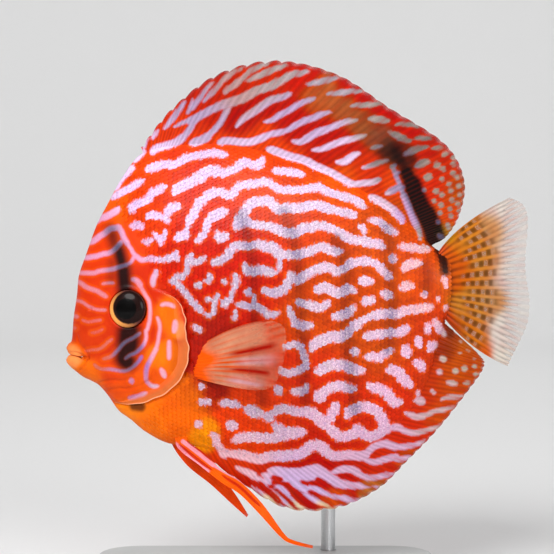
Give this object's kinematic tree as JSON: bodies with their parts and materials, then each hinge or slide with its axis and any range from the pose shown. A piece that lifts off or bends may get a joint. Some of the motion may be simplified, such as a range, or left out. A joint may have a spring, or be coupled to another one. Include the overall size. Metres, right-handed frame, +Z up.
{
  "type": "discus fish display model",
  "caption": "Life-size still model of a red and pale-ribboned discus fish, tall and disc-shaped, with its fins spread, held over a flat base by a post and a short arm.",
  "frame": {"origin": "centre of the underside of the display base, on the surface that it stands on", "axes": "+Z up. The fish swims toward -X, its left flank faces -Y and its midplane is the XZ plane."},
  "size_m": [0.1545, 0.076, 0.1762],
  "materials": {
    "skin": "orange-red fish skin with pale lilac ribbons, wet satin gloss",
    "fin": "thin rayed fin skin, red with pale streaks, see-through toward its edge",
    "tail_fin": "thin rayed fin skin, orange-brown at its root and clear at its edge",
    "eye": "dark glossy eye with an amber ring",
    "stand_paint": "light grey powder coat, fine satin texture",
    "stand_steel": "finely brushed stainless steel"
  },
  "bodies": {
    "root": {"upper_jaw": "skin", "lower_jaw": "skin", "head": "skin", "gill_cover_left": "skin", "gill_cover_right": "skin", "breast": "skin", "trunk": "skin", "tail_root": "skin", "dorsal_fin_spiny": "fin", "dorsal_fin_soft": "fin", "anal_fin_spiny": "fin", "anal_fin_soft": "fin", "caudal_fin": "tail_fin", "pectoral_fin_left": "fin", "pectoral_fin_right": "fin", "pelvic_fin_left": "fin", "pelvic_fin_right": "fin", "eye_left": "eye", "eye_right": "eye", "stand_base": "stand_paint", "stand_post": "stand_steel", "stand_clamp": "stand_steel", "stand_arm": "stand_steel"}
  },
  "joints": []
}
